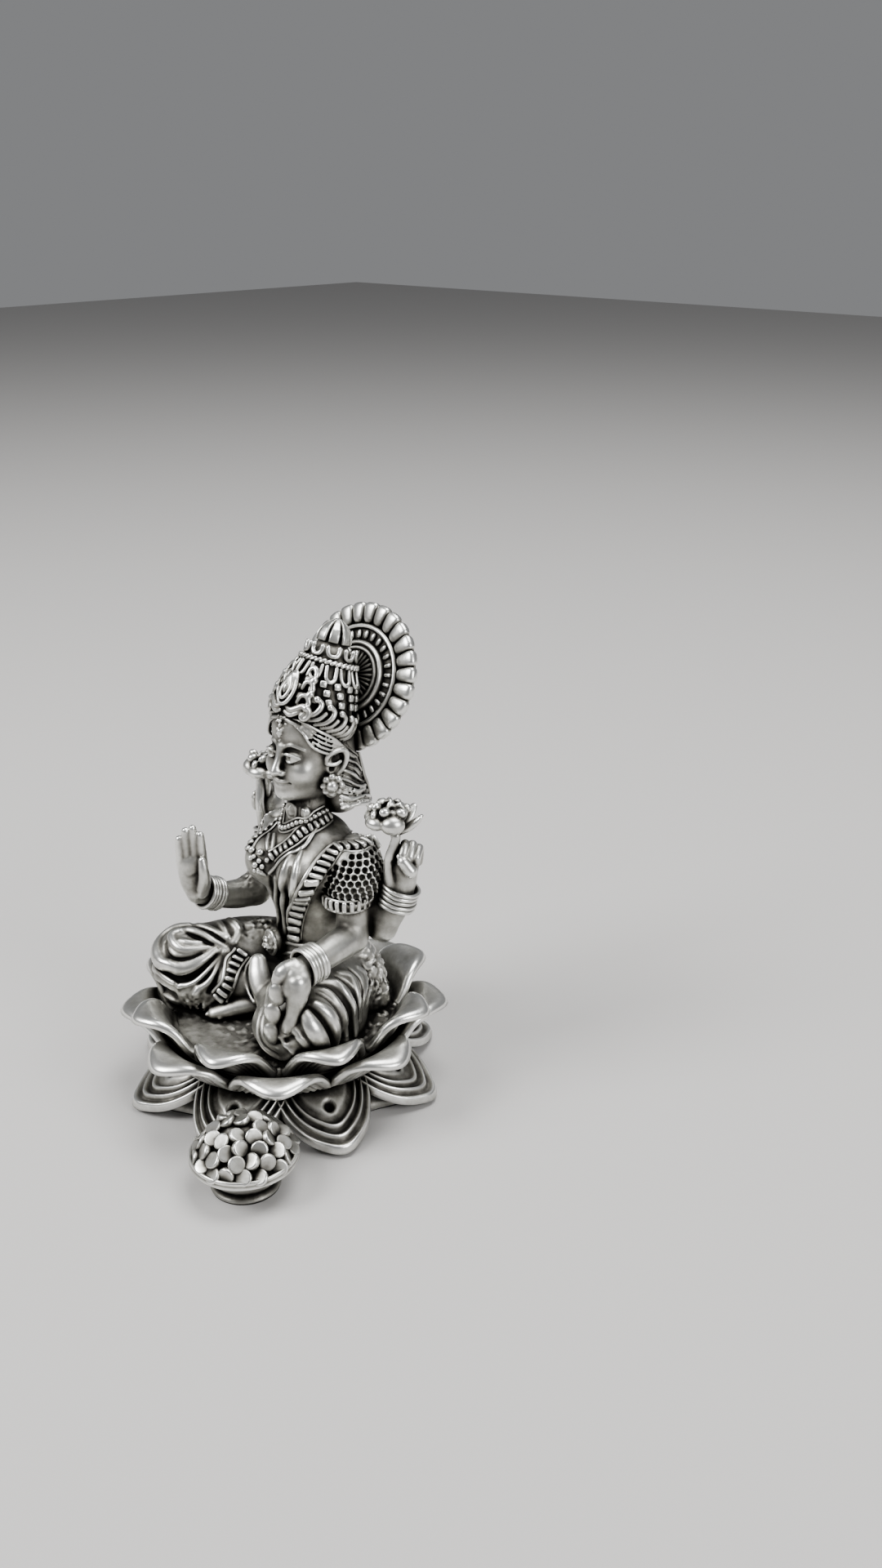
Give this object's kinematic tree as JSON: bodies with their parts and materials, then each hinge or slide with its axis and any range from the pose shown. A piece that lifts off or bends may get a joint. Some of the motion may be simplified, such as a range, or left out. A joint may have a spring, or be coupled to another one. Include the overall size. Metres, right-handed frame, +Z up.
{
  "type": "seated goddess figure on a lotus base",
  "caption": "Small cast silver figure of a four-armed seated goddess on a tiered lotus, with a round halo behind the crown and a footed bowl heaped with coins beside the base.",
  "frame": {"origin": "on the floor under the middle of the lotus", "axes": "+Z up, the figure faces -Y, its left hand is on the +X side"},
  "size_m": [0.058, 0.065, 0.0841],
  "materials": {
    "seat_silver": "antique silver, dark oxide in the hollows, broad polished petal lips",
    "figure_silver": "antique silver, polished highs over dark oxide in the carving",
    "halo_silver": "antique silver, heavily darkened between the ribs",
    "bowl_silver": "antique silver, polished coin faces over dark gaps"
  },
  "bodies": {
    "root": {"lotus_seat": "seat_silver", "figure": "figure_silver", "halo": "halo_silver", "coin_bowl": "bowl_silver"}
  },
  "joints": []
}
